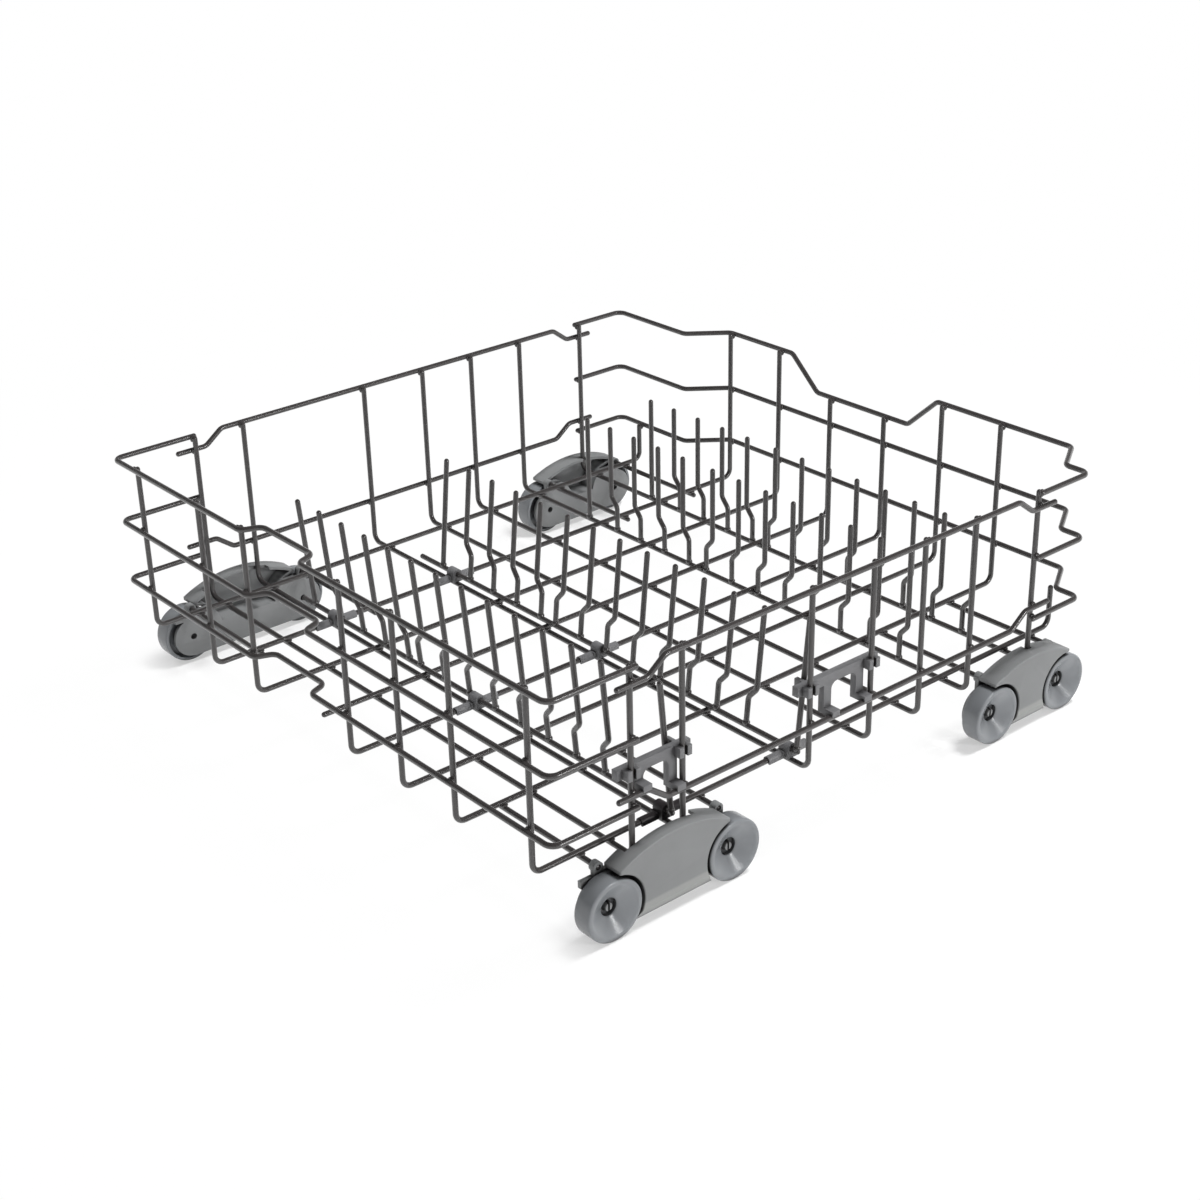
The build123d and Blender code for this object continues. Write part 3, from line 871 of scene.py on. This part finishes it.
def studio_paper():
    paper = Finish("studio_paper")
    paper.set("Base Color", PAPER_TONE)
    paper.set("Roughness", PAPER_ROUGH)
    spot = paper.object_place()
    beside = vector_of(paper, "SUBTRACT", vector_of(paper, "ABSOLUTE", spot, ORIGIN), BOGIE_MIDDLE)
    beside = vector_of(paper, "SUBTRACT", vector_of(paper, "ABSOLUTE", beside, ORIGIN), BOGIE_HALF)
    from_bogie = length_of(paper, vector_of(paper, "MAXIMUM", beside, ORIGIN))
    near = fade(paper, from_bogie, SHADOW_FULL, SHADOW_END, WHITE_IN_SHADOW, WHITE_BESIDE)
    far = fade(paper, length_of(paper, spot), WHITE_FROM, WHITE_ALL, 0, 1)
    camera_ray, mirror_ray = seen_rays(paper)
    seen = camera_ray.maths("MAXIMUM", camera_ray, mirror_ray)
    sheet = Value(paper.tree, paper.shader.outputs[0])
    white = paper.node("ShaderNodeEmission", {}, {})
    white_share = (near + (1 - near) * far) * seen
    surface = paper.node("ShaderNodeMixShader", {}, {0: white_share, 1: sheet, 2: white})
    join(surface, paper.tree.nodes["Material Output"].inputs["Surface"])
    return paper.material


floor_corners = [(FLOOR_HALF * x, FLOOR_HALF * y, 0) for x, y in ((-1, -1), (1, -1), (1, 1), (-1, 1))]
floor_mesh = bpy.data.meshes.new("studio_floor")
floor_mesh.from_pydata(floor_corners, [], [(0, 1, 2, 3)])
floor_mesh.materials.append(studio_paper())
floor = bpy.data.objects.new("studio_floor", floor_mesh)
bpy.context.scene.collection.objects.link(floor)


# Studio light
# A white room with a dim ceiling, which keeps the tops of level wires dark, and four soft lamps.
# Only the strip lamp shows in shiny faces, as the streak on the rollers. The camera sees white.
WORLD_LIGHT = 0.40
CEILING_LIGHT = 0.15
WALL_TOP = 0.02
CEILING_EDGE = 0.32
BASKET_MIDDLE = (0, 0, 80 * MM)
NEAR_ROLLERS = (0.25, -0.17, 0.02)
world = bpy.data.worlds.new("studio")
bpy.context.scene.world = world
world.use_nodes = True
backdrop = world.node_tree.nodes["Background"]
sky = Shading(world.node_tree)
way = sky.node("ShaderNodeTexCoord", {}, {}, "Generated")
height = sky.node("ShaderNodeSeparateXYZ", {}, {"Vector": way}, "Z")
dome = fade(sky, height, WALL_TOP, CEILING_EDGE, 1, CEILING_LIGHT)
camera_ray, mirror_ray = seen_rays(sky)
room = dome * (WORLD_LIGHT + (1 - WORLD_LIGHT) * mirror_ray)
join((1, 1, 1, 1), backdrop.inputs["Color"])
join(camera_ray + (1 - camera_ray) * room, backdrop.inputs["Strength"])


def soft_light(name, place, aim, size, power, mirrored=False):
    lamp = bpy.data.lights.new(name, "AREA")
    lamp.shape = "DISK"
    lamp.size = size
    lamp.energy = power
    light = bpy.data.objects.new(name, lamp)
    light.visible_glossy = mirrored
    light.location = place
    light.rotation_euler = (Vector(aim) - Vector(place)).to_track_quat("-Z", "Y").to_euler()
    bpy.context.scene.collection.objects.link(light)


soft_light("over_light", place=(0.35, 0.95, 2.25), aim=ORIGIN, size=0.8, power=85)
soft_light("camera_light", place=(2.6, -1.3, 0.80), aim=BASKET_MIDDLE, size=1.6, power=22)
soft_light("strip_light", place=(2.85, 0.88, 1.06), aim=NEAR_ROLLERS, size=0.5, power=34, mirrored=True)
soft_light("far_light", place=(-2.3, -0.6, 0.9), aim=BASKET_MIDDLE, size=1.6, power=30)


# Camera
# It stands off the rear right corner and looks down on the basket, turned, tilted and rolled as a
# fit to the photograph gave it. The shift is the fit's origin seen from the camera, and the last
# vector leads from there to the origin of the frame.
CAMERA_TURN = math.radians(50.17222)
CAMERA_TILT = math.radians(26.11482)
CAMERA_ROLL = -0.02453
FOCAL_PIXELS = 2055.148
PHOTO_PIXELS = 1200
SENSOR_WIDTH = 36
CAMERA_SHIFT = Vector((4.005, -88.921, 1574.674)) * MM
FRAME_FROM_FIT = Vector((0, 7.5, 30.5)) * MM
level_right = Vector((math.cos(CAMERA_TURN), math.sin(CAMERA_TURN), 0))
level_ahead = Vector((-math.sin(CAMERA_TURN), math.cos(CAMERA_TURN), 0))
ahead = math.cos(CAMERA_TILT) * level_ahead - math.sin(CAMERA_TILT) * Vector(UP)
level_up = level_right.cross(ahead)
right = math.cos(CAMERA_ROLL) * level_right + math.sin(CAMERA_ROLL) * level_up
up = math.cos(CAMERA_ROLL) * level_up - math.sin(CAMERA_ROLL) * level_right
place = -(right * CAMERA_SHIFT.x + up * CAMERA_SHIFT.y + ahead * CAMERA_SHIFT.z) - FRAME_FROM_FIT
lens = bpy.data.cameras.new("camera")
lens.sensor_width = SENSOR_WIDTH
lens.lens = FOCAL_PIXELS / PHOTO_PIXELS * SENSOR_WIDTH
camera = bpy.data.objects.new("camera", lens)
axes = Matrix((right, up, -ahead)).transposed()
camera.matrix_world = Matrix.Translation(place) @ axes.to_4x4()
bpy.context.scene.collection.objects.link(camera)
bpy.context.scene.camera = camera
bpy.context.scene.view_settings.view_transform = "Standard"
